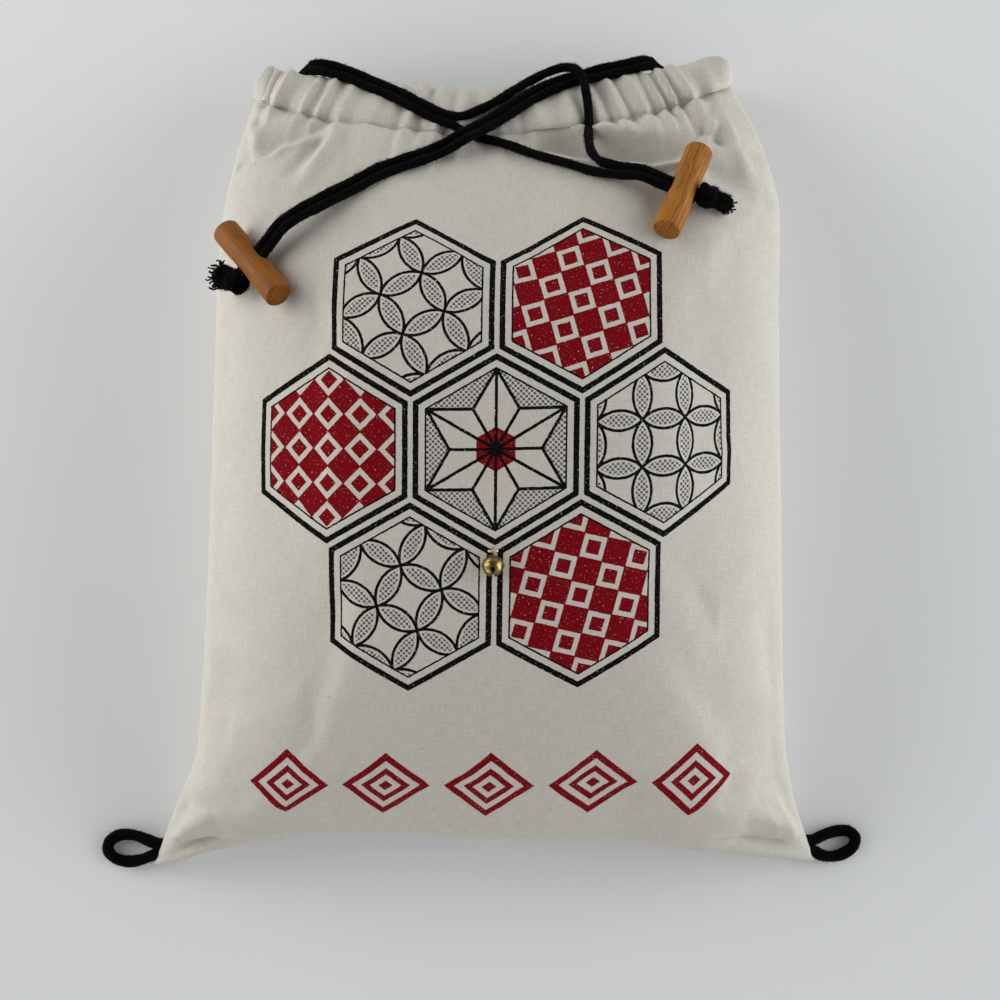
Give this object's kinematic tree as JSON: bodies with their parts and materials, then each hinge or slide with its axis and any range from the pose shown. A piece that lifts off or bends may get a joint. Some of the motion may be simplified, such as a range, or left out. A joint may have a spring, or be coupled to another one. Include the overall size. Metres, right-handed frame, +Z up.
{
  "type": "drawstring bag",
  "caption": "Filled off-white canvas drawstring bag lying on its back, black cords with wooden toggles, cord loops at the bottom corners and a small brass bell.",
  "frame": {"origin": "on the flat patch of the back panel that rests on the table, near the middle of the bag", "axes": "+Z up out of the front panel, +Y to the mouth, +X to the right seam as seen from the front"},
  "size_m": [0.3938, 0.4155, 0.1305],
  "materials": {
    "canvas": "plain weave, undyed off-white, matte",
    "black_cotton_cord": "soft fuzzy round cord, dyed black",
    "beech": "turned, thin satin varnish",
    "brass": "polished, slightly dulled",
    "pale_thread": "sewing thread"
  },
  "bodies": {
    "bag": {"front_panel": "canvas", "back_panel": "canvas", "front_casing": "canvas", "back_casing": "canvas", "left_toggle_cord_in_casings": "black_cotton_cord", "right_toggle_cord_in_casings": "black_cotton_cord", "left_toggle_cord_strand_a": "black_cotton_cord", "left_toggle_cord_strand_b": "black_cotton_cord", "right_toggle_cord_strand_a": "black_cotton_cord", "right_toggle_cord_strand_b": "black_cotton_cord", "left_toggle_knot": "black_cotton_cord", "right_toggle_knot": "black_cotton_cord", "left_toggle_tassel": "black_cotton_cord", "right_toggle_tassel": "black_cotton_cord", "bell_thread": "pale_thread"},
    "left_toggle": {"left_toggle": "beech"},
    "right_toggle": {"right_toggle": "beech"},
    "left_corner_loop": {"left_corner_loop": "black_cotton_cord"},
    "right_corner_loop": {"right_corner_loop": "black_cotton_cord"},
    "bell": {"bell_upper_shell": "brass", "bell_lower_shell": "brass", "bell_eye": "brass", "bell_pellet": "brass"}
  },
  "joints": [
    {"name": "left_toggle_slide", "type": "slide", "parent": "bag", "child": "left_toggle", "axis": [0.6436, 0.731, 0.2266], "range_m": [0, 0.016]},
    {"name": "right_toggle_slide", "type": "slide", "parent": "bag", "child": "right_toggle", "axis": [-0.9193, 0.3932, -0.0138], "range_m": [0, 0.012]},
    {"name": "left_corner_loop_hinge", "type": "hinge", "parent": "bag", "child": "left_corner_loop", "pos_m": [-0.17053, -0.19738, 0.00771], "axis": [0.372, 0.8856, 0.278], "range_deg": [0, 70]},
    {"name": "right_corner_loop_hinge", "type": "hinge", "parent": "bag", "child": "right_corner_loop", "pos_m": [0.17283, -0.19543, 0.00767], "axis": [0.354, -0.8944, -0.2733], "range_deg": [0, 70]},
    {"name": "bell_swing", "type": "hinge", "parent": "bag", "child": "bell", "pos_m": [0.0059, -0.0394, 0.1226], "axis": [-1, 0, 0], "range_deg": [0, 120]}
  ]
}
